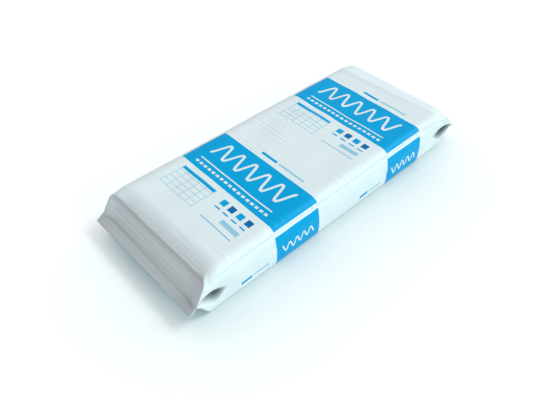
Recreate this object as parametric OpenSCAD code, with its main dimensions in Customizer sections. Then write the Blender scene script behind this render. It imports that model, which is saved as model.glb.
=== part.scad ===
// Bag of loose-fill insulation
// A printed film bag with side gussets, packed with compressed wool and welded shut across both ends.
// It lies on its broad back with its length along X, and its origin is the middle of the face it rests on.
// Sizes are in millimetres.

/* [Body] */
// Length of the packed body between its two end shoulders
body_l = 1170; // [800:5:1600]
// Width of the packed body across its sides
body_w = 500; // [350:5:700]
// Height of the packed body
body_h = 156; // [130:1:220]
// Width of the rolled upper edge along each side
roll_w = 50; // [20:1:80]
// Height of the rolled upper edge along each side
roll_h = 38; // [15:1:45]
// Width of the rounded lower edge along each side
foot_w = 14; // [6:1:30]
// Height of the rounded lower edge along each side
foot_h = 10; // [4:1:20]

/* [Ends] */
// Distance from an end shoulder out to the root of the end weld
end_out = 48; // [30:1:80]
// Height of the weld's root above the floor
seal_h = 72; // [60:1:90]
// Height over which the top turns softly down into the end
shoulder_soft = 40; // [10:1:60]
// Height over which the bottom lifts softly off the floor into the end
lift_soft = 20; // [5:1:40]
// Width of the welded fin from its root to its free edge
fin_w = 28; // [10:1:60]
// Drop of the fin's free edge below its root
fin_droop = 14; // [0:1:30]
// How far the flat weld stands out past the packed body on each side
fin_over = 7; // [0:1:20]

/* [Gussets] */
// Length of the folded pocket that each gusset leaves beside a weld
pocket_l = 117; // [90:1:180]
// Greatest depth of a pocket
pocket_d = 50; // [20:1:60]
// Height of a pocket's upper rim above the weld
rim_up = 24; // [8:1:30]
// Depth of a pocket's lower lip below the weld
lip_down = 33; // [8:1:40]

/* [Film] */
// Thickness of one layer of the film
film_t = 0.15; // [0.08:0.01:0.3]

/* [Hidden] */

// Layers of film in a weld: the two faces, and the folded gusset between them
weld_layers = 4;
weld_t = weld_layers * film_t;
// Hairline left between the layers of a weld, so that the film stays one open tube pressed flat
hairline = film_t / 3;
// Roots of the welds, free edges of the fins and starts of the pockets, out from the middle
root_x = body_l / 2 + end_out;
tip_x = root_x + fin_w;
pocket_x = root_x - pocket_l;
// Rings along one pocket, and how much closer they stand towards the weld
pocket_rings = 13;
ring_crowding = 1.4;
// Steps round the upper roll and round the lower edge
roll_steps = 6;
foot_steps = 3;
// Share of the upper roll that is left where the film is pulled flat at a weld
roll_left = 0.2;
// Most that a rolled edge may take of the height left near a weld
roll_share = 0.3;
foot_share = 0.12;
// Depth of a pocket for each millimetre that the film stands open near a weld
pocket_closing = 0.9;
// Where a gusset wall bends between its edge and its inner fold, as shares of the depth and of the height
bend_depth = 0.55;
bend_height = 0.3;
// Width over which the sides of a weld thin out, and how late along the pocket that begins
pinch_w = 10;
pinch_power = 12;

film_colour = "whitesmoke";
wool_colour = "lightgray";

// The smaller or larger of two heights, with the corner between them rounded over a height
function soft_min(a, b, soft) =
    let (near = max(soft - abs(a - b), 0) / soft) min(a, b) - near * near * soft / 4;
function soft_max(a, b, soft) = -soft_min(-a, -b, soft);
function clamp(value, low, high) = min(max(value, low), high);
function reversed(list) = [for (i = [len(list) - 1:-1:0]) list[i]];

// Share of the way along a pocket, from its start to the weld
function along(x) = clamp((x - pocket_x) / pocket_l, 0, 1);

// Heights of the upper and the lower film over the middle line, up to the weld's root
function top_z(x) =
    let (flat = seal_h + weld_t / 2)
    soft_min(body_h, flat + (root_x - x) * (body_h - flat) / end_out, shoulder_soft);
function low_z(x) =
    let (flat = seal_h - weld_t / 2)
    soft_max(0, flat - (root_x - x) * flat / end_out, lift_soft);

// Height of the fin's middle layer from the weld's root outwards, and half its thickness or half its slit
function fin_z(x) = seal_h - fin_droop * (x - root_x) / fin_w;
function fin_half(inset) = (inset > 0 ? hairline : weld_t) / 2;

// How much further apart two layers stand, measured upwards, where the film slopes
function lean(z_ahead, z_behind) = sqrt(1 + pow(z_ahead - z_behind, 2));
function crown_z(x, inset) =
    x < root_x ? top_z(x) - inset * lean(top_z(x + 0.5), top_z(x - 0.5)) : fin_z(x) + fin_half(inset);
function base_z(x, inset) =
    x < root_x ? low_z(x) + inset * lean(low_z(x + 0.5), low_z(x - 0.5)) : fin_z(x) - fin_half(inset);

// A rounded edge as a quarter ellipse of unit size, from its flat end to its upright end
function quarter(steps) = [for (i = [0:steps]) let (a = 90 * i / steps) [sin(a), 1 - cos(a)]];

// One half of the bag's section, from its back up over its side to its top, as [y, z] points.
// An inset of one film thickness gives the inner face of the film.
function half_section(x, inset) =
    let (
        t = along(x),
        base = base_z(x, inset),
        crown = crown_z(x, inset),
        // The gusset keeps one film thickness on both faces, and lies in the slit of a weld
        shift = x < root_x ? inset : 0,
        low = x < root_x ? low_z(x) : base,
        open = (x < root_x ? top_z(x) : crown) - low,
        side = body_w / 2 + fin_over * t * t - inset,
        pinch = pinch_w * pow(t, pinch_power),
        pull = 1 - (1 - roll_left) * t * t,
        edge_w = roll_w * pull,
        edge_h = min(roll_h * pull, roll_share * open),
        base_h = min(foot_h, foot_share * open),
        wall_low = low + base_h,
        wall_h = open - edge_h - base_h,
        hump = sin(180 * t),
        lip = wall_low + wall_h * clamp((seal_h - lip_down * hump - wall_low) / wall_h, 0.15, 0.4) - shift,
        rim = wall_low + wall_h * clamp((seal_h + rim_up * hump - wall_low) / wall_h, 0.6, 0.85) + shift,
        fold = (lip + rim) / 2,
        depth = x < root_x ? min(pocket_d * t, pocket_closing * (open - weld_t)) : 0,
        deep = depth + shift * min(depth, 2),
        edge = side - pinch,
        bend = side - pinch / 8 - bend_depth * deep
    )
    concat(
        [for (p = quarter(foot_steps)) [edge - foot_w + foot_w * p[0], base + base_h * p[1]]],
        [
            [side - pinch / 2, lip],
            [bend, lip + bend_height * (fold - lip)],
            [side - deep, fold],
            [bend, rim - bend_height * (rim - fold)],
            [side - pinch / 2, rim]
        ],
        [for (i = [roll_steps:-1:0])
            let (p = quarter(roll_steps)[i]) [edge - edge_w + edge_w * p[0], crown - edge_h * p[1]]]
    );

// The whole ring at one place along the bag, anticlockwise as seen from the far end of X
function ring(x, inset) =
    let (half = half_section(abs(x), inset))
    concat([for (p = half) [x, p[0], p[1]]], [for (p = reversed(half)) [x, -p[0], p[1]]]);

// Places of the rings from a pocket's start towards its weld
function pocket_stations(count) =
    [for (i = [0:count]) pocket_x + pocket_l * (1 - pow(1 - i / pocket_rings, ring_crowding))];
function both_ends(stations) = concat(-reversed(stations), stations);

// Triangles between two rings of n points that start at two point numbers
function band(first, second, n) = [
    for (i = [0:n - 1])
        let (j = (i + 1) % n)
        each [[first + i, second + i, second + j], [first + i, second + j, first + j]]
];

// Strips across a ring of n points that starts at a point number, facing back along X
function flat_end(first, n) = [
    for (i = [0:n / 2 - 2])
        let (a = first + i, b = first + n - 1 - i)
        each [[a, a + 1, b - 1], [a, b - 1, b]]
];

// A tube of film through a row of rings that comes back to its start
module loop_of_rings(rings) {
    n = len(rings[0]);
    count = len(rings);
    polyhedron(
        [for (r = rings, p = r) p],
        [for (r = [0:count - 1]) each band(r * n, (r + 1) % count * n, n)]
    );
}

// A closed body through a row of rings, with flat ends
module row_of_rings(rings) {
    n = len(rings[0]);
    last = len(rings) - 1;
    polyhedron(
        [for (r = rings, p = r) p],
        concat(
            [for (r = [0:last - 1]) each band(r * n, (r + 1) * n, n)],
            flat_end(0, n),
            [for (f = flat_end(last * n, n)) reversed(f)]
        )
    );
}

// The film runs along its outer face from fin to fin and back along its inner face
module film_bag() {
    stations = both_ends(concat(pocket_stations(pocket_rings), [tip_x]));
    color(film_colour)
    loop_of_rings(concat(
        [for (x = stations) ring(x, 0)],
        [for (x = reversed(stations)) ring(x, film_t)]
    ));
}

// The wool fills the room inside the film, as far as the last ring before each weld
module wool_fill() {
    color(wool_colour)
    row_of_rings([for (x = both_ends(pocket_stations(pocket_rings - 1))) ring(x, film_t)]);
}

film_bag();
wool_fill();
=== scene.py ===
"""Looks of a bag of loose-fill insulation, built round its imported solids.

The film is one skin through rings along the bag: a flat back, upright gusset sides, rolled upper edges and
a flat top, drawn down at both ends to a weld with a free fin and an open gusset pocket on either side.
Wrinkles are real waves in the skin. The print is worked out in the material from flat film coordinates.
Sizes are in metres. Where a size differs between the two sides, its -Y value comes first, and where it
differs between the two ends, its -X value comes first.
"""
import math
from typing import NamedTuple

import bpy
import numpy as np
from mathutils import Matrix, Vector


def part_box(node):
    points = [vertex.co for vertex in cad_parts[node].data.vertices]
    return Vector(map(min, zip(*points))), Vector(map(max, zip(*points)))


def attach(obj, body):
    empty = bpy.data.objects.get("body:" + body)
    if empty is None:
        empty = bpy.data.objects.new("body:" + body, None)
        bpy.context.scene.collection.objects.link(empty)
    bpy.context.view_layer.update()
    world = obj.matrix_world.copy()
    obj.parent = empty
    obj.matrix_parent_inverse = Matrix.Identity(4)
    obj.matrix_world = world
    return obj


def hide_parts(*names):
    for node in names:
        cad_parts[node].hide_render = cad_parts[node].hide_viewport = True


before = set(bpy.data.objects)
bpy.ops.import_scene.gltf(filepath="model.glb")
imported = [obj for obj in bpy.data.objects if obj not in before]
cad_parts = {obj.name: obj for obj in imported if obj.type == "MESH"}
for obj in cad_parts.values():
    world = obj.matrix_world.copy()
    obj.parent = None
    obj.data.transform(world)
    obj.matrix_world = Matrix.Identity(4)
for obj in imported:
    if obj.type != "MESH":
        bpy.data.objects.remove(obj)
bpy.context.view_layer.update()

# Reach of the film, from the frame
film_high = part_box("film_bag")[1]
TIP_X = film_high.x
FLAT_HALF = film_high.y
BODY_H = film_high.z

# The fins: width, drop of their free edges, and how far the flat welds stand out past the sides of the body
FIN_W = 0.028
FIN_DROOP = 0.014
FIN_OVER = 0.007
# Skew of the -X fin's free edge, height of the beads along the folded sides of the fins, and distances in
# from those sides at which the beads begin and are full
FIN_SKEW = 0.0055
FIN_BEAD = 0.0011
BEAD_FROM = 0.005
BEAD_FULL = 0.001
# Waves of the free edges: height, length, how late they rise and how far inside the weld's root they start
FIN_WAVE_H = 0.0022
FIN_WAVE_L = 0.22
FIN_WAVE_POWER = 1.5
FIN_WAVE_IN = 0.004
# Both fins take their waves from one long swell: how far from its middle, and the length of the swell
FIN_APART = 3.0
FIN_SWELL_L = 9.0

# The ends: from the shoulders out to the roots of the welds, and height and thickness of the welds
END_OUT = 0.048
ROOT_X = TIP_X - FIN_W
SHOULDER_X = ROOT_X - END_OUT
SEAL_H = 0.072
WELD_T = 0.0010
# Length over which a fin's slope dies out inside its root, and fillets of the upper and lower film there
WELD_FADE = 0.012
WELD_FILLET = (0.005, 0.018)
# Steepness of the end faces, where 1 just reaches the top at the shoulder, and how softly the film turns
# into the top and into the back
END_STEEP = (1.0, 1.12)
SHOULDER_SOFT = 0.014
LIFT_SOFT = 0.020
# Droop of the top towards the shoulders, its reach, and how late it sets in
SHOULDER_DROOP = (0.012, 0.009)
SHOULDER_REACH = (0.052, 0.070)
SHOULDER_POWER = 1.6
# Rounding of the upper corners, for each end and side: drop, and reach behind, past and beside the shoulder
CORNER_DROP = ((0.004, 0.0), (0.013, 0.007))
CORNER_BACK = 0.055
CORNER_OUT = 0.012
CORNER_W = 0.065
# Share of a ring's height from which its points count as raised
RAISED_FROM = 0.45

# Between its corners, the -X end has a wider fin, and its shoulder leans back and sinks
NEAR_FIN = 0.0095
NEAR_LEAN = (0.010, 0.0)
NEAR_SINK = (0.014, 0.010)
# Reach of the sinking behind the shoulder, and how late it sets in
NEAR_REACH = 0.075
NEAR_POWER = 3
# Distances behind the shoulder at which the film stays in place and from which it moves in full
NEAR_HELD = 0.15
NEAR_MOVED = 0.03
# Distances in from the sides of the weld at which these moves along X, and the sinking, start and are full
LEAN_SIDE = (0.004, 0.050)
SINK_SIDE = (0.012, 0.085)

# The sides of the body: how far they stand out, their bulge low down and their neck under the roll
SIDE_Y = FLAT_HALF - FIN_OVER
SIDE_OUT = (0.0, 0.002)
SIDE_BULGE = (0.006, 0.003)
BULGE_POWER = 0.7
SIDE_NECK = (0.005, 0.0)
NECK_FROM = 0.55
# Width of the film that bulges with a wall
BULGE_W = 0.03
# The rolled upper edges and the rounded lower ones, and the most of a ring's height that each takes up
ROLL_W = (0.046, 0.010)
ROLL_H = (0.027, 0.010)
ROLL_SHARE = 0.34
FOOT_W = 0.010
FOOT_H = 0.010
FOOT_SHARE = 0.12
# Share of the roll that is pulled flat, and the stretches of a pocket over which the roll flattens and over
# which a wall that stands out comes back
ROLL_LOST = 0.88
ROLL_PULL = (0.45, 0.76)
SIDE_PULL = (0.3, 0.9)
# Droop of the top towards the rolled edges, and the width over which it bends down
EDGE_DROOP = (0.0, 0.0068)
EDGE_BEND = 0.040

# The gusset pockets: length, drop of their axis at the start, depth of the fold, and share of the length
# and power by which that depth is reached
POCKET_L = 0.117
POCKET_X = ROOT_X - POCKET_L
POCKET_FALL = 0.006
GUSSET_DEPTH = 0.068
GUSSET_FULL_AT = 0.62
GUSSET_POWER = 1.25
# Rise of a pocket's rim, drop of its lip and how late the lip is lowest, and the inner fold between the two
RIM_UP = 0.026
LIP_DOWN = 0.031
LIP_POWER = 0.82
FOLD_SHARE = 0.55
# How softly the lower ply leaves the lip, and the share of the wall that is kept past the rim and the lip
PLY_POWER = 1.6
WALL_KEPT = 0.08
# Half height that the pocket's points take up at its start, what the flat wall before it adds to that, and
# the length over which this ends
DENT = 0.003
DENT_MORE = 0.022
DENT_L = 0.06
# Distances before and past a pocket's start between which the bulge of the wall ends
BULGE_END = (0.07, 0.03)

# Where along a pocket its painted shade is deepest: a lower power is nearer its start
POCKET_DARKEST = (0.8, 3.0)
# How strong that shade is, how softly it fades along the pocket, and shares of the lower ply at which it
# starts and is full
POCKET_DARKNESS = (0.87, 1.0)
POCKET_FADE = (1.0, 0.5)
POCKET_START = -0.10
POCKET_FULL = (0.70, 0.38)
# Painted shade of the -X end's long creases, half its width, and how far outside the weld's root the lower
# one lies
CREASE_SHADE = 0.17
CREASE_HALF = 0.0060
CREASE_OUT = 0.001
# Distances in from the sides of the weld at which that shade starts and is full
CREASE_SIDE = (0.002, 0.020)
# Film this far below the weld's root, or higher, belongs to the upper face
UPPER_BELOW = 0.001

# Points round one half of a ring: back, lower edge, lower wall, each pocket ply, upper wall, roll, top
N_BACK = 5
N_FOOT = 5
N_LOWER = 8
N_POCKET = 9
N_UPPER = 7
N_ROLL = 24
N_TOP = 17
HALF_POINTS = N_BACK + N_FOOT + N_LOWER + 2 * N_POCKET + N_UPPER + N_ROLL + N_TOP
# How much closer the points of the top stand towards its edges
TOP_CROWDING = 1.5

# Spacing of the rings along the body, along its two finely wrinkled stretches with the places where these
# start and the first one ends, along a pocket and along a fin
BODY_STEP = 0.0037
FINE_STEP = 0.0019
FINE_FROM = -0.12
FINE_TO = 0.25
FOLDS_FROM = 0.498
POCKET_STEP = 0.0014
FIN_STEP = 0.0025

# The photograph's camera: width of its frame and focal length in pixels, place, angles in degrees, how far
# it sees, and width of its sensor in millimetres
FRAME_PX = 537
FOCAL_PX = 527
CAMERA_AT = (-1.0361, -1.0049, 1.3643)
CAMERA_AZIMUTH = -42.44
CAMERA_ELEVATION = 45.64
CAMERA_REACH = 50.0
SENSOR_MM = 36.0


def smooth(low, high, x):
    """0 below low, 1 above high, and an eased step between them."""
    t = np.clip((x - low) / (high - low), 0, 1)
    return t * t * (3 - 2 * t)


def soft_min(a, b, soft):
    """The smaller of two heights, with the corner between them rounded."""
    near = max(soft - abs(a - b), 0) / soft
    return min(a, b) - near * near * soft / 4


def soft_max(a, b, soft):
    """The larger of two heights, rounded in the same way."""
    return -soft_min(-a, -b, soft)


def ramp(x, fillet):
    """A straight rise that starts with a round fillet."""
    return x * x / (2 * fillet) if x < fillet else x - fillet / 2


def in_from_sides(y, start, full):
    """0 up to one distance in from the sides of the weld, and 1 from another one on."""
    return smooth(FLAT_HALF - start, FLAT_HALF - full, np.abs(y))


def profile(x, end_no):
    """Heights of the upper film, the lower film and the weld's plane over the middle line of the bag."""
    inward = ROOT_X - x
    slope = FIN_DROOP / FIN_W
    if inward <= 0:
        mid = SEAL_H + slope * inward
        return mid + WELD_T / 2, mid - WELD_T / 2, mid
    mid = SEAL_H + slope * inward * math.exp(-inward / WELD_FADE)
    rise, fall = (ramp(inward, fillet) / ramp(END_OUT, fillet) for fillet in WELD_FILLET)
    reach = SHOULDER_REACH[end_no]
    crown = BODY_H - SHOULDER_DROOP[end_no] * (max(x - SHOULDER_X + reach, 0) / reach) ** SHOULDER_POWER
    face = mid + WELD_T / 2 + (BODY_H - SEAL_H) * rise * END_STEEP[end_no]
    upper = soft_min(crown, face, SHOULDER_SOFT)
    lower = soft_max(0, mid - WELD_T / 2 - SEAL_H * fall, LIFT_SOFT)
    return upper, lower, mid


def along_pocket(x):
    """Share of the way along a pocket, from its start to the weld."""
    return min(max((x - POCKET_X) / POCKET_L, 0), 1)


def pocket_depth(t):
    """How far the gusset is folded in: nothing at the pocket's start, all of it well before the weld."""
    return GUSSET_DEPTH * min(t / GUSSET_FULL_AT, 1) ** GUSSET_POWER


def share(n):
    """Even shares of a stretch from its start, without its end."""
    return np.arange(n) / n


def half_section(x, side_no, end_no):
    """One half of a ring, from the middle of the back over one side to the middle of the top."""
    t = along_pocket(x)
    upper, lower, mid = profile(x, end_no)
    height = upper - lower
    # The roll is pulled flat towards the weld
    spread = 1 - ROLL_LOST * smooth(*ROLL_PULL, t)
    side = SIDE_Y + FIN_OVER * t * t + SIDE_OUT[side_no] * (1 - smooth(*SIDE_PULL, t))
    roll_w = ROLL_W[side_no] * spread
    roll_h = min(ROLL_H[side_no] * spread, ROLL_SHARE * height)
    foot_h = min(FOOT_H, FOOT_SHARE * height)
    wall_low = lower + foot_h
    wall_h = height - foot_h - roll_h
    roll_low = upper - roll_h
    # The points of the pocket spread over the flat wall before its start
    dent = DENT + DENT_MORE * (1 - smooth(POCKET_X - DENT_L, POCKET_X, x))
    axis = mid - POCKET_FALL * (1 - t)
    rim = axis + dent + RIM_UP * math.sin(math.pi * t)
    rim = min(rim, wall_low + (1 - WALL_KEPT) * wall_h)
    lip = axis - dent - LIP_DOWN * math.sin(math.pi * t**LIP_POWER) ** 2
    lip = max(lip, wall_low + WALL_KEPT * wall_h)
    fold = lip + FOLD_SHARE * (rim - lip)
    depth = pocket_depth(t)

    turn = share(N_FOOT) * math.pi / 2
    back = np.column_stack([share(N_BACK) * (side - FOOT_W), np.full(N_BACK, lower)])
    foot = np.column_stack([side - FOOT_W + FOOT_W * np.sin(turn), lower + foot_h * (1 - np.cos(turn))])
    wall = np.column_stack([np.full(N_LOWER, side), wall_low + (lip - wall_low) * share(N_LOWER)])
    # The gusset's lower ply runs in from a soft lip to the fold, and its upper ply back to a sharp rim
    q = share(N_POCKET)
    under = np.column_stack([side - depth * q, lip + (fold - lip) * q**PLY_POWER])
    turn = q * math.pi / 2
    over = np.column_stack([side - depth * np.cos(turn), fold + (rim - fold) * np.sin(turn)])
    strip = np.column_stack([np.full(N_UPPER, side), rim + (roll_low - rim) * share(N_UPPER)])
    turn = share(N_ROLL) * math.pi / 2
    roll = np.column_stack([side - roll_w + roll_w * np.cos(turn), roll_low + roll_h * np.sin(turn)])
    inward = (np.arange(N_TOP + 1) / N_TOP) ** TOP_CROWDING
    top = np.column_stack([(side - roll_w) * (1 - inward), np.full(N_TOP + 1, upper)])
    half = np.vstack([back, foot, wall, under, over, strip, roll, top])

    # The wall swells out low down, and draws in to a neck under the roll
    body = 1 - smooth(POCKET_X - BULGE_END[0], POCKET_X + BULGE_END[1], x)
    up_wall = np.clip((half[:, 1] - lower) / (roll_low - lower), 0, 1)
    bulge = SIDE_BULGE[side_no] * np.sin(np.pi * up_wall**BULGE_POWER)
    neck = SIDE_NECK[side_no] * smooth(NECK_FROM, 1, up_wall)
    half[:, 0] += (bulge - neck) * smooth(side - BULGE_W, side, half[:, 0]) * body
    # The top droops towards its edges, and the upper corners of the ends are rounded off
    raised = smooth(RAISED_FROM, 1, (half[:, 1] - lower) / height)
    near_edge = np.maximum((half[:, 0] - side + roll_w) / EDGE_BEND + 1, 0)
    droop = np.where(near_edge < 1, near_edge**2, 2 * near_edge - 1)
    half[:, 1] -= EDGE_DROOP[side_no] * droop * raised * height / BODY_H
    peak = SHOULDER_X + CORNER_OUT
    corner = smooth(SHOULDER_X - CORNER_BACK, peak, x) * smooth(ROOT_X, peak, x)
    half[:, 1] -= CORNER_DROP[end_no][side_no] * corner * raised * smooth(side - CORNER_W, side, half[:, 0])
    return half


def stations():
    """Places of the rings from one fin's edge to the other."""
    spans = (
        (-TIP_X, -ROOT_X, FIN_STEP),
        (-ROOT_X, -POCKET_X, POCKET_STEP),
        (-POCKET_X, FINE_FROM, BODY_STEP),
        (FINE_FROM, FINE_TO, FINE_STEP),
        (FINE_TO, FOLDS_FROM, BODY_STEP),
        (FOLDS_FROM, POCKET_X, FINE_STEP),
        (POCKET_X, ROOT_X, POCKET_STEP),
        (ROOT_X, TIP_X, FIN_STEP),
    )
    rows = [np.linspace(low, high, round((high - low) / step), endpoint=False) for low, high, step in spans]
    return np.concatenate(rows + [[TIP_X]])


def girth(half):
    """Flat distance of each point of a half ring from the middle of the top."""
    back = np.cumsum(np.linalg.norm(np.diff(half[::-1], axis=0), axis=1))
    return np.concatenate([[0], back])[::-1]


def film_grid():
    """The film's smooth skin as a grid of rings, and the flat film coordinates of its points."""
    xs = stations()
    rings, flat_v = [], []
    for x in xs:
        right, left = (half_section(abs(x), side_no, int(x > 0)) for side_no in (0, 1))
        ring = np.vstack([left, right[-2:0:-1] * (-1, 1)])
        rings.append(np.column_stack([np.full(len(ring), x), ring]))
        # Distance round the film from the middle of the top, positive on the +Y side
        flat_v.append(np.concatenate([girth(left), -girth(right)[-2::-1]]))
    grid = np.array(rings)
    # Distance along the film from the middle of the bag, over the crown of the top
    crown = grid[:, HALF_POINTS, :]
    steps = np.linalg.norm(np.diff(crown, axis=0), axis=1)
    flat_u = np.concatenate([[0], np.cumsum(steps)])
    flat_u -= np.interp(0, xs, flat_u)
    return grid, flat_u, np.array(flat_v)


def normals_of(grid):
    """Directions in which the film faces outwards at its points."""
    along = np.gradient(grid, axis=0)
    wrapped = np.concatenate([grid[:, -1:], grid, grid[:, :1]], axis=1)
    around = (wrapped[:, 2:] - wrapped[:, :-2]) / 2
    n = np.cross(around, along)
    n /= np.maximum(np.linalg.norm(n, axis=2, keepdims=True), 1e-12)
    return -n if n[len(n) // 2, HALF_POINTS, 2] < 0 else n


def waves(rng, a, b, size_a, size_b, count=9):
    """A soft random swell of about unit height, from plane waves of about the given sizes."""
    total = np.zeros(np.broadcast(a, b).shape)
    for _ in range(count):
        ka, kb = rng.normal(0, 1 / size_a), rng.normal(0, 1 / size_b)
        total += np.sin(2 * np.pi * (ka * a + kb * b) + rng.uniform(0, 2 * np.pi))
    return total / math.sqrt(count)


# The valley beside a crease's ridge: its share of the ridge's height, and its place in widths of the ridge
VALLEY = 0.7
VALLEY_AT = 1.4


class Crease(NamedTuple):
    """A kind of crease: ranges of middle, half length, width and height, and mean and spread of slant."""

    middle: tuple
    half_length: tuple
    width: tuple
    height: tuple
    slant: tuple

    def draw(self, rng, a, b, at, side=1, lean=1):
        """One sharp ridge beside a shallow valley, across a at one place, fading out along b."""
        middle = side * rng.uniform(*self.middle)
        spans = (self.half_length, self.width, self.height)
        half_length, width, height = (rng.uniform(*span) for span in spans)
        slant = lean * rng.normal(*self.slant)
        across = (a - at - slant * (b - middle)) / width
        fade = np.exp(-((b - middle) / half_length) ** 4)
        return height * (np.exp(-across**2) - VALLEY * np.exp(-((across - VALLEY_AT) ** 2))) * fade


class Fold(NamedTuple):
    """A long fold across an end face: height, depth, reach and width, and its lower flank's steepness."""

    at: float
    depth: float
    reach: float
    width: float
    below: float


# Swells of the top and of the sides: height, and size along and across. The top is calmer at its +X end.
TOP_SWELL = 0.0012
TOP_SWELL_SIZE = (0.25, 0.20)
TOP_CALM = 0.8
TOP_CALM_X = (0.42, 0.52)
SIDE_SWELL = 0.0010
SIDE_SWELL_SIZE = (0.16, 0.10)
# Heights between which film comes to count as top, distances in from the sides, and then past and before a
# pocket's start, between which it comes to count as wall, and heights between which it clears the floor
TOP_FROM_Z = (0.10, 0.15)
WALL_FROM = (0.010, 0.002)
WALL_END = (0.03, 0.05)
CLEAR_Z = (0.004, 0.03)
# The soft groove under the rolled edge: depth, rise above the edge's foot, half widths above and below, and
# distances past and behind the shoulder between which it starts
GROOVE_DEPTH = 0.0055
GROOVE_RISE = 0.003
GROOVE_HALF = (0.007, 0.010)
GROOVE_END = (0.01, 0.03)
# Short wrinkles near both ends: kind, number, distance of the first from the shoulder, pitch and its spread
END_WRINKLE = Crease((0.06, 0.16), (0.02, 0.07), (0.0020, 0.0028), (0.0003, 0.0007), (0, 0.02))
END_WRINKLES = 14
END_WRINKLE_FIRST = 0.008
END_WRINKLE_PITCH = 0.0058
END_WRINKLE_SPREAD = 0.001
# Two long folds before the +X end: places, slant, height, and lengths over which they rise and fade
FAR_FOLDS = (0.514, 0.525)
FAR_FOLD_SLANT = 0.066
FAR_FOLD_H = 0.0015
FAR_FOLD_RISE = 0.0034
FAR_FOLD_FADE = 0.03
# A close row of wrinkles towards the +Y side between the bands: kind, number, start, pitch and its spread
ROW_WRINKLE = Crease((0.06, 0.19), (0.05, 0.13), (0.0022, 0.0030), (0.0006, 0.0014), (0, 0.015))
ROW_WRINKLES = 30
ROW_FIRST = 0.01
ROW_PITCH = 0.0115
ROW_SPREAD = 0.002
# Short puckers over the rolled edges: kind, number, share of their height on the +Y side, and distance
# behind the shoulder at which they are full
PUCKER = Crease((0.20, 0.235), (0.02, 0.05), (0.004, 0.008), (0.0003, 0.0009), (0, 0.15))
PUCKERS = 46
PUCKER_LEFT = 0.35
PUCKER_END = 0.03
# The end faces: how far they reach behind and past the shoulder, and outside and inside the weld's root
FACE_BACK = 0.03
FACE_OUT = 0.008
FACE_FOOT = (0.002, 0.006)
# Folds across them, of which the one under the shoulder is at the -X end alone, the width at one side over
# which they start, and the sway of their lines
SHOULDER_FOLD = Fold(0.135, 0.0055, 0.62, 0.0046, 0.15)
FACE_FOLDS = (Fold(0.121, 0.0016, 0.36, 0.0034, 1), Fold(0.104, 0.0013, 0.28, 0.0030, 1))
FOLD_SIDE = 0.03
SWAY = 0.0007
SWAY_L = 0.3
# Long creases of the end faces: kind, number at each end, height of the first above the weld, pitch and its
# spread
FACE_CREASE = Crease((0.02, 0.22), (0.09, 0.20), (0.0026, 0.0050), (0.0006, 0.0014), (0.03, 0.02))
FACE_CREASES = (8, 6)
FACE_FIRST = 0.012
FACE_PITCH = 0.0090
FACE_SPREAD = 0.002


def past_groove(flat_v):
    """Flat distance of each point below the foot of its rolled edge, negative above it."""
    at = HALF_POINTS - N_TOP - N_ROLL
    left, right = flat_v[:, at:at + 1], flat_v[:, -at - 1:flat_v.shape[1] - at]
    v = flat_v[:, :-1]
    return np.where(v > 0, v - left, right - v)


def groove(flat_v, end):
    """The soft groove where the gusset's upper fold has opened out, under the rolled edge."""
    past = past_groove(flat_v) + GROOVE_RISE
    above, below = GROOVE_HALF
    bowl = np.exp(-((past / np.where(past < 0, above, below)) ** 2))
    return GROOVE_DEPTH * bowl * smooth(SHOULDER_X + GROOVE_END[0], SHOULDER_X - GROOVE_END[1], end)


def top_wrinkles(rng, x, y):
    """Wrinkles across the top: short ones near the ends, two long folds and a close row between bands."""
    h = np.zeros(x.shape)
    for end_side in (-1, 1):
        for k in range(END_WRINKLES):
            back = SHOULDER_X - END_WRINKLE_FIRST - END_WRINKLE_PITCH * k
            at = end_side * (back + rng.normal(0, END_WRINKLE_SPREAD))
            h += END_WRINKLE.draw(rng, x, y, at, side=end_side)
    for at in FAR_FOLDS:
        past = x - at + FAR_FOLD_SLANT * y
        h += FAR_FOLD_H * smooth(0, FAR_FOLD_RISE, past) * smooth(FAR_FOLD_FADE, FAR_FOLD_RISE, past)
    for k in range(ROW_WRINKLES):
        at = FINE_FROM + ROW_FIRST + ROW_PITCH * k + rng.normal(0, ROW_SPREAD)
        h -= ROW_WRINKLE.draw(rng, x, y, at)
    return h


def puckers(rng, x, y):
    """Short puckers over the rolled edges."""
    h = np.zeros(x.shape)
    for _ in range(PUCKERS):
        at = rng.uniform(-SHOULDER_X, SHOULDER_X)
        h += PUCKER.draw(rng, x, y, at, side=rng.choice((-1, 1)))
    return h * np.where(y > 0, PUCKER_LEFT, 1)


def on_end_face(x):
    """1 on the end faces and 0 on the top, with an eased step round the shoulders."""
    return smooth(SHOULDER_X - FACE_BACK, SHOULDER_X + FACE_OUT, np.abs(x))


def end_creases(rng, x, y, z):
    """Long folds and creases across the end faces, beside the weld, gathered towards one side."""
    h = np.zeros(x.shape)
    foot = smooth(ROOT_X + FACE_FOOT[0], ROOT_X - FACE_FOOT[1], np.abs(x))
    for end_side, folds, count in zip((-1, 1), ((SHOULDER_FOLD, *FACE_FOLDS), FACE_FOLDS), FACE_CREASES):
        face = (np.sign(x) == end_side) * on_end_face(x) * foot * (z > SEAL_H)
        across = -end_side * y
        gathered = smooth(FLAT_HALF, FLAT_HALF - FOLD_SIDE, across) * face
        sway = SWAY * waves(rng, y, 0 * y, SWAY_L, 1.0)
        for fold in folds:
            fade = np.exp(-(((across - FLAT_HALF) / fold.reach) ** 4))
            off = (z - fold.at - sway) / fold.width
            h -= fold.depth * np.exp(-((off * np.where(off < 0, fold.below, 1)) ** 2)) * fade * gathered
        for k in range(count):
            at = SEAL_H + FACE_FIRST + FACE_PITCH * k + rng.normal(0, FACE_SPREAD)
            h += FACE_CREASE.draw(rng, z, y, at, side=-end_side, lean=end_side) * face
    return h


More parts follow.
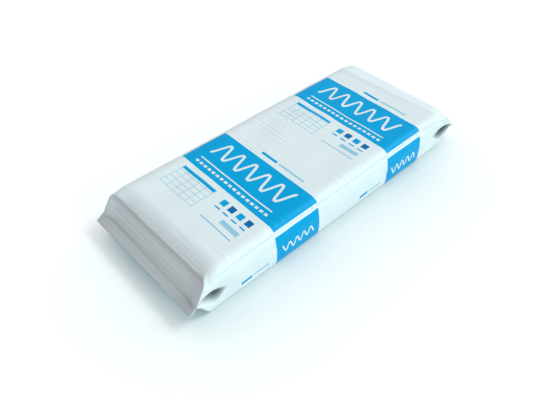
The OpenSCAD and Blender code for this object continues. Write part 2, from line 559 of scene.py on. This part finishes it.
def wrinkles(grid, flat_v):
    """Height of the film's waves and wrinkles above its smooth skin."""
    rng = np.random.default_rng(7)
    x, y, z = grid[..., 0], grid[..., 1], grid[..., 2]
    end, out = np.abs(x), np.abs(y)
    up = smooth(*TOP_FROM_Z, z)
    on_top = up * smooth(FLAT_HALF, SIDE_Y - ROLL_W[0], out) * smooth(ROOT_X, SHOULDER_X, end)
    on_side = smooth(SIDE_Y - WALL_FROM[0], SIDE_Y - WALL_FROM[1], out)
    on_side *= smooth(POCKET_X + WALL_END[0], POCKET_X - WALL_END[1], end) * smooth(*CLEAR_Z, z)
    h = TOP_SWELL * waves(rng, x, y, *TOP_SWELL_SIZE) * on_top * (1 - TOP_CALM * smooth(*TOP_CALM_X, x))
    h += SIDE_SWELL * waves(rng, x, z, *SIDE_SWELL_SIZE) * on_side
    h -= groove(flat_v, end)
    h += top_wrinkles(rng, x, y) * on_top
    h += puckers(rng, x, y) * up * smooth(ROOT_X, SHOULDER_X - PUCKER_END, end)
    h += end_creases(rng, x, y, z)
    return h


def settle_near_end(grid):
    """Widen the -X end's fin between its corners, lean its face back and let its shoulder sink."""
    x, y, z = grid[..., 0].copy(), grid[..., 1], grid[..., 2]
    across = np.clip((FLAT_HALF - y) / (2 * FLAT_HALF), 0, 1)
    lean, sink = (left + (right - left) * across for right, left in (NEAR_LEAN, NEAR_SINK))
    over = np.clip((NEAR_REACH - SHOULDER_X - x) / NEAR_REACH, 0, 1) ** NEAR_POWER
    raised = np.clip((z - SEAL_H) / (BODY_H - SEAL_H), 0, 1)
    grid[..., 2] -= sink * over * raised * in_from_sides(y, *SINK_SIDE)
    fin = np.clip((TIP_X + x) / FIN_W, 0, 1)
    face = np.clip((ROOT_X + x) / END_OUT, 0, 1)
    moved = smooth(NEAR_HELD - SHOULDER_X, NEAR_MOVED - SHOULDER_X, x)
    grid[..., 0] += (NEAR_FIN * fin + lean * face) * in_from_sides(y, *LEAN_SIDE) * moved


def shape_fins(grid):
    """Thicken the folded sides of the fins, wave their free edges and set the -X edge a little askew."""
    x, y, z = grid[..., 0], grid[..., 1], grid[..., 2]
    weld = SEAL_H - FIN_DROOP * (np.abs(x) - ROOT_X) / FIN_W
    bead = smooth(FLAT_HALF - BEAD_FROM, FLAT_HALF - BEAD_FULL, np.abs(y)) * (np.abs(x) > ROOT_X)
    z += FIN_BEAD * bead * np.clip((z - weld) / (WELD_T / 2), -1, 1)
    rng = np.random.default_rng(11)
    loose = smooth(ROOT_X - FIN_WAVE_IN, TIP_X, np.abs(x)) ** FIN_WAVE_POWER
    z += FIN_WAVE_H * loose * waves(rng, np.sign(x) * FIN_APART, y, FIN_SWELL_L, FIN_WAVE_L)
    np.maximum(z, 0, out=z)
    x += FIN_SKEW * np.clip((-x - ROOT_X) / FIN_W, 0, 1) * (FLAT_HALF - y) / (2 * FLAT_HALF)


def pocket_shade(grid):
    """Painted shade of the film inside the gusset pockets, 0 to 1, deeper towards the inner fold."""
    q = share(N_POCKET)
    first = N_BACK + N_FOOT + N_LOWER
    rows = []
    for x in grid[:, 0, 0]:
        end_no = int(x > 0)
        half = np.zeros(HALF_POINTS + 1)
        half[first:first + N_POCKET] = smooth(POCKET_START, POCKET_FULL[end_no], q)
        half[first + N_POCKET:first + 2 * N_POCKET] = np.cos(q * math.pi / 2)
        hump = max(math.sin(math.pi * along_pocket(abs(x)) ** POCKET_DARKEST[end_no]), 0)
        deep = POCKET_DARKNESS[end_no] * hump ** POCKET_FADE[end_no]
        rows.append(deep * np.concatenate([half, half[-2:0:-1]]))
    return np.array(rows)


def crease_shade(grid):
    """Painted shade along the two long creases of the -X end, at the weld's root and under the shoulder."""
    x, y, z = grid[..., 0], grid[..., 1], grid[..., 2]
    root = np.exp(-(((x + ROOT_X + CREASE_OUT) / CREASE_HALF) ** 2))
    shoulder = np.exp(-(((z - SHOULDER_FOLD.at) / CREASE_HALF) ** 2)) * on_end_face(x)
    upper = (x < 0) * (z > SEAL_H - UPPER_BELOW)
    return CREASE_SHADE * np.maximum(root, shoulder) * upper * in_from_sides(y, *CREASE_SIDE)


def closed_mesh(name, grid):
    """A smooth mesh through a row of rings, closed by a face across each end."""
    count, around = grid.shape[:2]
    idx = np.arange(count * around).reshape(count, around)
    right = np.roll(idx, -1, axis=1)
    quads = np.stack([idx[:-1], right[:-1], right[1:], idx[1:]], axis=-1).reshape(-1, 4)
    caps = [idx[0, ::-1].tolist(), idx[-1].tolist()]
    mesh = bpy.data.meshes.new(name)
    mesh.from_pydata(grid.reshape(-1, 3).tolist(), [], quads.tolist() + caps)
    mesh.update()
    mesh.shade_smooth()
    return mesh


def corner_places(flat_u, flat_v):
    """Flat film coordinates of the corners of the film's faces: the quads by rows, then the two ends."""
    u = np.repeat(flat_u[:, None], flat_v.shape[1] - 1, axis=1)
    corner_u = np.stack([u[:-1], u[:-1], u[1:], u[1:]], axis=-1)
    corner_v = np.stack([flat_v[:-1, :-1], flat_v[:-1, 1:], flat_v[1:, 1:], flat_v[1:, :-1]], axis=-1)
    quads = np.stack([corner_u, corner_v], axis=-1).reshape(-1, 2)
    first, last = (np.column_stack([u[row], flat_v[row, :-1]]) for row in (0, -1))
    return np.concatenate([quads, first[::-1], last])


def film_mesh():
    """The film's skin with its painted shade and flat coordinates, and the places of the weld's roots along
    it.
    """
    grid, flat_u, flat_v = film_grid()
    shade = np.maximum(pocket_shade(grid), crease_shade(grid))
    roots = np.interp((-ROOT_X, ROOT_X), grid[:, 0, 0], flat_u)
    grid = grid + normals_of(grid) * wrinkles(grid, flat_v)[..., None]
    settle_near_end(grid)
    shape_fins(grid)
    mesh = closed_mesh("film_skin", grid)
    shade_layer = mesh.attributes.new("shade", "FLOAT", "POINT")
    shade_layer.data.foreach_set("value", shade.astype(np.float32).ravel())
    uv_layer = mesh.uv_layers.new(name="film")
    uv_layer.data.foreach_set("uv", corner_places(flat_u, flat_v).astype(np.float32).ravel())
    return mesh, roots.tolist()


# Width of the soft border of the inks
INK_EDGE = 0.0008


class Nodes:
    """Short ways to build the nodes of a material or of the world."""

    def __init__(self, owner, output="ShaderNodeOutputMaterial"):
        owner.use_nodes = True
        self.tree = owner.node_tree
        self.tree.nodes.clear()
        self.out = self.tree.nodes.new(output)

    def put(self, socket, value):
        if isinstance(value, bpy.types.NodeSocket):
            self.tree.links.new(value, socket)
        else:
            socket.default_value = value

    def node(self, kind, inputs=None, **settings):
        made = self.tree.nodes.new(kind)
        for key, value in settings.items():
            setattr(made, key, value)
        for key, value in (inputs or {}).items():
            self.put(made.inputs[key], value)
        return made

    def surface(self, shader):
        self.put(self.out.inputs["Surface"], shader.outputs[0])

    def math(self, operation, *values, clamp=False):
        made = self.node("ShaderNodeMath", operation=operation, use_clamp=clamp)
        for socket, value in zip(made.inputs, values):
            self.put(socket, value)
        return made.outputs[0]

    def any_of(self, masks):
        total = masks[0]
        for mask in masks[1:]:
            total = self.math("MAXIMUM", total, mask)
        return total

    def seen(self):
        """1 for the rays that carry what the camera sees, also in a mirror or through glass."""
        path = self.node("ShaderNodeLightPath").outputs
        return self.any_of([path["Is %s Ray" % ray] for ray in ("Camera", "Glossy", "Transmission")])

    def within(self, coord, low, high):
        """1 where a coordinate lies between two values, with a narrow soft border."""
        off = self.math("ABSOLUTE", self.math("SUBTRACT", coord, (low + high) / 2))
        depth = self.math("SUBTRACT", (high - low) / 2, off)
        return self.math("MULTIPLY_ADD", depth, 1 / INK_EDGE, 0.5, clamp=True)

    def patch(self, along, across, box):
        """1 inside a box of (low, high) along and (low, high) across."""
        return self.math("MINIMUM", self.within(along, *box[0]), self.within(across, *box[1]))

    def steps(self, coord, pitch, width):
        """1 on a row of stripes, each centred on a multiple of the pitch."""
        place = self.math("FLOORED_MODULO", self.math("ADD", coord, width / 2), pitch)
        return self.within(place, 0, width)

    def wave(self, across, along, middle, line):
        """1 on an even wavy line that runs along one coordinate."""
        turn = 2 * math.pi / line.period
        angle = self.math("MULTIPLY", along, turn)
        crest = self.math("MULTIPLY_ADD", self.math("SINE", angle), line.swing, middle)
        lean = self.math("MULTIPLY", self.math("COSINE", angle), line.swing * turn)
        steep = self.math("SQRT", self.math("MULTIPLY_ADD", lean, lean, 1.0))
        off = self.math("DIVIDE", self.math("SUBTRACT", across, crest), steep)
        return self.within(off, -line.width / 2, line.width / 2)

    def mix(self, amount, first, second):
        """One colour over another. The node's colour sockets come after those for numbers and vectors."""
        made = self.node("ShaderNodeMix", data_type="RGBA")
        self.put(made.inputs["Factor"], amount)
        self.put(made.inputs[6], first)
        self.put(made.inputs[7], second)
        return made.outputs[2]

    def noise(self, vector, scale, detail=2.0, roughness=0.5):
        settings = {"Vector": vector, "Scale": scale, "Detail": detail, "Roughness": roughness}
        return self.node("ShaderNodeTexNoise", settings).outputs["Fac"]


def srgb(r, g, b):
    """A colour as seen on a screen, 0 to 255, as the renderer's linear colour."""
    def linear(c):
        c /= 255
        return c / 12.92 if c <= 0.04045 else ((c + 0.055) / 1.055) ** 2.4
    return linear(r), linear(g), linear(b), 1.0


class WavyLine(NamedTuple):
    """A printed wavy line: how far it swings to each side, the length of one wave and the line's width."""

    swing: float
    period: float
    width: float


# Colours of the film and of its inks, and of the painted shade on its fins and in its pockets and creases
WHITE_FILM = srgb(240, 244, 247)
FIN_PAINTED_SHADE = srgb(208, 210, 213)
BLUE = srgb(0, 167, 226)
DEEP_BLUE = srgb(0, 112, 176)
PALE_BLUE = srgb(158, 208, 232)
SHADE = srgb(60, 66, 68)
# Bare edge of the fins beside their painted shade, and a length that passes every end of the film
WELD_EDGE = 0.0025
BEYOND = 1.0
# The bands: their repeat along the film, half their width and the middle of one of them. They end at a
# height on the -Y roll and at a place on the +Y side, and go on below a height on both sides.
REPEAT = 0.547
BAND_HALF = 0.096
BAND_MIDDLE = -0.218
ROLL_BAND_Z = 0.144
LEFT_BAND_END = 0.2325
SIDE_BAND_Z = 0.123
# The print's places along the film are from the middle of a band, and those across it from the middle of
# the top. In the band there are a wavy line, a rule and a row of dashes, and a small wavy line on the side.
TOP_LINE = WavyLine(0.034, 0.066, 0.010)
TOP_LINE_AT = 0.026
TOP_LINE_WAVES = 5.5
RULE = (-0.052, -0.047)
DASHES = (-0.076, -0.066)
DASH_PITCH = 0.022
DASH_L = 0.014
SIDE_LINE = WavyLine(0.013, 0.032, 0.006)
SIDE_LINE_HALF = 0.072
# Below the band on one side, an empty table with a header: its box along and across the film, rows, columns,
# width of its lines and depth of its header
TABLE = ((-0.222, -0.118), (0.012, 0.182))
TABLE_ROWS = 5
TABLE_COLUMNS = 5
TABLE_LINE = 0.0024
TABLE_HEAD = 0.013
# On the other side, squares with a bar under each, and under them a rule and a block
SQUARES = 4
SQUARE_FIRST = -0.036
SQUARE_PITCH = 0.040
SQUARE_W = 0.025
SQUARE_ALONG = (-0.147, -0.122)
SQUARE_BAR_ALONG = (-0.166, -0.160)
LONG_RULE = ((-0.222, -0.219), (-0.181, -0.036))
BLOCK = ((-0.200, -0.182), (-0.181, -0.101))
# Above the band, a blue and a pale bar
TOP_BAR = ((0.116, 0.128), (-0.020, 0.055))
TOP_PALE_BAR = ((0.118, 0.126), (-0.150, -0.030))
# Low on the side, a blue and a pale bar, with their heights above one line
LOW_BAR_Z = 0.030
LOW_BAR_ALONG = (-0.244, -0.200)
LOW_BAR_H = 0.014
LOW_PALE_ALONG = (-0.194, -0.128)
LOW_PALE_H = (0.003, 0.011)
# The film's gloss and its fine grain
ROUGH_LEAST = 0.34
ROUGH_MORE = 0.12
ROUGH_SCALE = 30.0
GRAIN = {"scale": 180.0, "detail": 3.0}
GRAIN_RELIEF = {"Strength": 0.06, "Distance": 0.002}
FILM_IOR = 1.5
FILM_SPECULAR = 0.09


def girth_at(z):
    """Flat distance from the middle of the top round to a height on the -Y side of the body."""
    half = half_section(0.0, 0, 0)
    outer = half[:, 0] > SIDE_Y - ROLL_W[0]
    return float(np.interp(z, half[outer, 1], girth(half)[outer]))


def band_ink(n, s, v, away):
    """The blue bands over the top and down the sides, with their patterns left out."""
    band = n.within(s, -BAND_HALF, BAND_HALF)
    side_start = girth_at(SIDE_BAND_Z)
    on_top = n.math("MINIMUM", band, n.within(v, -girth_at(ROLL_BAND_Z), LEFT_BAND_END))
    on_side = n.math("MINIMUM", band, n.within(away, side_start, BEYOND))
    blue = n.math("MAXIMUM", on_top, on_side)
    # A wavy line of wool, as it is drawn in building plans, over a rule and a row of dashes
    half_row = TOP_LINE_WAVES / 2 * TOP_LINE.period
    row = (-half_row, half_row)
    wool_line = n.math("MINIMUM", n.wave(s, v, TOP_LINE_AT, TOP_LINE), n.within(v, *row))
    rule = n.patch(s, v, (RULE, row))
    dashes = n.math("MINIMUM", n.patch(s, v, (DASHES, row)), n.steps(v, DASH_PITCH, DASH_L))
    # The same line again, small, on the side panel
    side_middle = (side_start + girth_at(0.0)) / 2
    panel = n.patch(s, away, ((-SIDE_LINE_HALF, SIDE_LINE_HALF), (side_start, BEYOND)))
    side_line = n.math("MINIMUM", n.wave(away, s, side_middle, SIDE_LINE), panel)
    return n.math("SUBTRACT", blue, n.any_of([wool_line, rule, dashes, side_line]), clamp=True)


def panel_inks(n, s, v, away):
    """The pale, blue and deep blue print beside the bands, as lists of masks."""
    (low, high), (right, left) = TABLE
    rows = n.steps(n.math("SUBTRACT", s, low), (high - low) / TABLE_ROWS, TABLE_LINE)
    columns = n.steps(n.math("SUBTRACT", v, right), (left - right) / TABLE_COLUMNS, TABLE_LINE)
    rim = ((low - TABLE_LINE, high + TABLE_LINE), (right - TABLE_LINE, left + TABLE_LINE))
    lines = n.math("MINIMUM", n.math("MAXIMUM", rows, columns), n.patch(s, v, rim))
    header = n.patch(s, v, ((high - TABLE_HEAD, high), (right, left)))
    pale = [lines, n.patch(s, v, BLOCK), n.patch(s, v, TOP_PALE_BAR)]
    blue = [header, n.patch(s, v, LONG_RULE), n.patch(s, v, TOP_BAR)]
    deep = []
    for k in range(SQUARES):
        at = SQUARE_FIRST - SQUARE_PITCH * k
        across = (at - SQUARE_W, at)
        (deep if k % 2 else blue).append(n.patch(s, v, (SQUARE_ALONG, across)))
        blue.append(n.patch(s, v, (SQUARE_BAR_ALONG, across)))
    foot = girth_at(LOW_BAR_Z)
    blue.append(n.patch(s, away, (LOW_BAR_ALONG, (foot - LOW_BAR_H, foot))))
    pale.append(n.patch(s, away, (LOW_PALE_ALONG, (foot - LOW_PALE_H[1], foot - LOW_PALE_H[0]))))
    return pale, blue, deep


def film_material(roots):
    """White film with its print, and painted shade on the fins, in the pockets and along the creases."""
    material = bpy.data.materials.new("printed_film")
    n = Nodes(material)
    uv = n.node("ShaderNodeUVMap", uv_map="film").outputs["UV"]
    split = n.node("ShaderNodeSeparateXYZ", {"Vector": uv})
    u, v = split.outputs["X"], split.outputs["Y"]
    away = n.math("ABSOLUTE", v)
    # Place along one repeat of the print, from the middle of its band
    start = n.math("ADD", u, REPEAT / 2 - BAND_MIDDLE)
    s = n.math("SUBTRACT", n.math("FLOORED_MODULO", start, REPEAT), REPEAT / 2)
    pale, blue, deep = panel_inks(n, s, v, away)
    blue.append(band_ink(n, s, v, away))
    # The print ends at the shoulders
    body = n.within(u, -SHOULDER_X, SHOULDER_X)
    colour = WHITE_FILM
    for masks, ink in ((pale, PALE_BLUE), (blue, BLUE), (deep, DEEP_BLUE)):
        colour = n.mix(n.math("MINIMUM", n.any_of(masks), body), colour, ink)
    # Painted shade on the welded fins: their film is coloured a little greyer
    weld = n.any_of([n.within(u, -BEYOND, roots[0]), n.within(u, roots[1], BEYOND)])
    weld = n.math("MINIMUM", weld, n.within(v, WELD_EDGE - FLAT_HALF, FLAT_HALF - WELD_EDGE))
    colour = n.mix(weld, colour, FIN_PAINTED_SHADE)
    # Painted shade in the pockets and along the creases, from the value stored on the mesh
    shade = n.node("ShaderNodeAttribute", attribute_name="shade").outputs["Fac"]
    colour = n.mix(shade, colour, SHADE)
    rough = n.math("MULTIPLY_ADD", n.noise(uv, ROUGH_SCALE), ROUGH_MORE, ROUGH_LEAST)
    grain = n.node("ShaderNodeBump", {"Height": n.noise(uv, **GRAIN), **GRAIN_RELIEF})
    shader = n.node("ShaderNodeBsdfPrincipled", {"Base Color": colour, "Roughness": rough, "IOR": FILM_IOR})
    n.put(shader.inputs["Specular IOR Level"], FILM_SPECULAR)
    n.put(shader.inputs["Normal"], grain.outputs["Normal"])
    n.surface(shader)
    return material


def add(name, data):
    """A new object in the scene."""
    made = bpy.data.objects.new(name, data)
    bpy.context.scene.collection.objects.link(made)
    return made


film_data, weld_roots = film_mesh()
film = add("film_skin", film_data)
film.data.materials.append(film_material(weld_roots))
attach(film, "root")
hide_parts("film_bag")

# The wool inside, held off the film and back from its ends and pockets, so that it never shows through it,
# with the number of its rings and of the points round each
WOOL_GAP = 0.008
WOOL_BACK = 0.030
WOOL_END = 0.016
WOOL_STEPS = 90
WOOL_ROUND = 72
# How square its section is, the least half height it has at its ends, and height and size of its lumps with
# the length over which they begin
WOOL_SQUARE = 0.35
WOOL_LEAST = 0.002
LUMP_H = 0.0012
LUMP_SIZE = 0.05
LUMP_FADE = 0.05
# Its flecks of two colours, which are also its relief
WOOL_DARK = srgb(214, 210, 198)
WOOL_LIGHT = srgb(244, 242, 234)
FLECK = {"scale": 90.0, "detail": 4.0, "roughness": 0.7}
FLECK_RELIEF = {"Strength": 0.6, "Distance": 0.004}
WOOL_ROUGH = 0.95


def wool_mesh():
    """The wool as one closed body with a squarish section and a lumpy skin."""
    rng = np.random.default_rng(5)
    reach = ROOT_X - WOOL_END - WOOL_BACK
    turn = share(WOOL_ROUND) * 2 * np.pi
    out, up = (np.sign(wave) * np.abs(wave) ** WOOL_SQUARE for wave in (np.cos(turn), np.sin(turn)))
    rings = []
    for x in np.linspace(-reach, reach, WOOL_STEPS):
        upper, lower, _ = profile(abs(x) + WOOL_BACK, 0)
        wide = SIDE_Y - WOOL_GAP - pocket_depth(along_pocket(abs(x) + WOOL_BACK))
        high = max((upper - lower) / 2 - WOOL_GAP, WOOL_LEAST)
        rings.append(np.column_stack([np.full(WOOL_ROUND, x), wide * out, (upper + lower) / 2 + high * up]))
    grid = np.array(rings)
    x, y, z = grid[..., 0], grid[..., 1], grid[..., 2]
    lumps = LUMP_H * np.abs(waves(rng, x, y, LUMP_SIZE, LUMP_SIZE))
    z -= lumps * np.sign(z - SEAL_H) * smooth(0, LUMP_FADE, reach - np.abs(x))
    return closed_mesh("wool_core", grid)


def wool_material():
    """Plain off-white wool with fine flecks."""
    material = bpy.data.materials.new("compressed_wool")
    n = Nodes(material)
    fleck = n.noise(n.node("ShaderNodeTexCoord").outputs["Object"], **FLECK)
    relief = n.node("ShaderNodeBump", {"Height": fleck, **FLECK_RELIEF})
    colour = n.mix(fleck, WOOL_DARK, WOOL_LIGHT)
    shader = n.node("ShaderNodeBsdfPrincipled", {"Base Color": colour, "Roughness": WOOL_ROUGH})
    n.put(shader.inputs["Normal"], relief.outputs["Normal"])
    n.surface(shader)
    return material


wool = add("wool_core", wool_mesh())
wool.data.materials.append(wool_material())
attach(wool, "root")
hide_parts("wool_fill")

# Plain floor, white to the eye, with painted shadow where the bag stands close over it: half its width, and
# how far it lies below the bag
FLOOR_HALF = 12.0
FLOOR_DROP = 0.0004
# Its colour, and how much of it throws light back on the bag, is seen as paint and is seen as glow
FLOOR_COLOUR = (0.92, 0.97, 0.98)
FLOOR_BOUNCE = 0.75
FLOOR_SEEN = 0.50
FLOOR_GLOW = 0.66
# Painted shadow in the glow: colour where the bag covers it and in the open, reach, and towards which side
FLOOR_SHADE = (0.0, 0.16, 0.19, 1.0)
FLOOR_OPEN = (1.0, 1.0, 1.0, 1.0)
FLOOR_REACH = 0.40
FLOOR_LEAN = {"X": 0.42, "Y": 0.43, "Z": 0.80}
# Distance from the bag within which a painted contact shadow dims the glow, the share of it that goes, and
# the samples taken for both kinds of painted shadow
CONTACT_REACH = 0.045
CONTACT_DIM = 0.45
COVER_SAMPLES = 16


def floor_material():
    """Matt paint to the light that falls on the bag, and to the eye a glow darkened by painted shadow."""
    material = bpy.data.materials.new("studio_floor")
    n = Nodes(material)

    def paint(amount):
        colour = [amount * c for c in FLOOR_COLOUR] + [1.0]
        return n.node("ShaderNodeBsdfDiffuse", {"Color": colour}).outputs[0]

    def open_share(inputs):
        return n.node("ShaderNodeAmbientOcclusion", inputs, samples=COVER_SAMPLES).outputs["AO"]

    lean = n.node("ShaderNodeCombineXYZ", FLOOR_LEAN).outputs[0]
    # Painted shadow: the glow darkens and takes a tint where the bag covers the floor
    near = open_share({"Distance": FLOOR_REACH, "Normal": lean})
    close = open_share({"Distance": CONTACT_REACH})
    strength = n.math("MULTIPLY_ADD", close, CONTACT_DIM * FLOOR_GLOW, (1 - CONTACT_DIM) * FLOOR_GLOW)
    painted_shadow_tint = n.mix(near, FLOOR_SHADE, FLOOR_OPEN)
    glow = n.node("ShaderNodeEmission", {"Color": painted_shadow_tint, "Strength": strength})
    look = n.node("ShaderNodeAddShader", {0: paint(FLOOR_SEEN), 1: glow.outputs[0]})
    n.surface(n.node("ShaderNodeMixShader", {0: n.seen(), 1: paint(FLOOR_BOUNCE), 2: look.outputs[0]}))
    return material


floor_mesh = bpy.data.meshes.new("floor")
signs = ((-1, -1), (1, -1), (1, 1), (-1, 1))
corners = [(FLOOR_HALF * x, FLOOR_HALF * y, -FLOOR_DROP) for x, y in signs]
floor_mesh.from_pydata(corners, [], [(0, 1, 2, 3)])
floor_mesh.materials.append(floor_material())
floor = add("floor", floor_mesh)

# Soft light from all round, which the eye sees as a white backdrop past the floor's edge
SKY = 0.36
SKY_SEEN = 1.0
SKY_COLOUR = (0.98, 0.98, 1.0, 1.0)
# A broad lamp from behind on the right, a low one that fills the long side and a faint one on the -X end:
# strength, elevation and azimuth in degrees, and colour. All are soft, with one spread in degrees.
LAMPS = {
    "key": (1.84, 47, 64, (0.86, 1.0, 1.0)),
    "fill": (1.02, 20, 10, (0.66, 1.0, 1.0)),
    "end": (0.14, 8, -84, (1.0, 0.96, 1.0)),
}
LAMP_SPREAD = 22


def light_world():
    """A sky that lights the bag softly and looks white to the eye."""
    world = bpy.data.worlds.new("world")
    n = Nodes(world, "ShaderNodeOutputWorld")
    strength = n.math("MULTIPLY_ADD", n.seen(), SKY_SEEN - SKY, SKY)
    n.surface(n.node("ShaderNodeBackground", {"Color": SKY_COLOUR, "Strength": strength}))
    bpy.context.scene.world = world


def turn_to(elevation, azimuth):
    """Angles of a lamp or a camera that looks down from an elevation, turned by an azimuth, in degrees."""
    return math.radians(90 - elevation), 0, math.radians(azimuth)


light_world()
for name, (strength, elevation, azimuth, colour) in LAMPS.items():
    lamp = add(name, bpy.data.lights.new(name, "SUN"))
    lamp.data.energy = strength
    lamp.data.angle = math.radians(LAMP_SPREAD)
    lamp.data.color = colour
    lamp.rotation_euler = turn_to(elevation, azimuth)

cam = add("camera", bpy.data.cameras.new("camera"))
cam.data.sensor_width = SENSOR_MM
cam.data.lens = SENSOR_MM * FOCAL_PX / FRAME_PX
cam.data.clip_end = CAMERA_REACH
cam.location = CAMERA_AT
cam.rotation_euler = turn_to(CAMERA_ELEVATION, CAMERA_AZIMUTH)
bpy.context.scene.camera = cam
bpy.context.scene.view_settings.view_transform = "Standard"
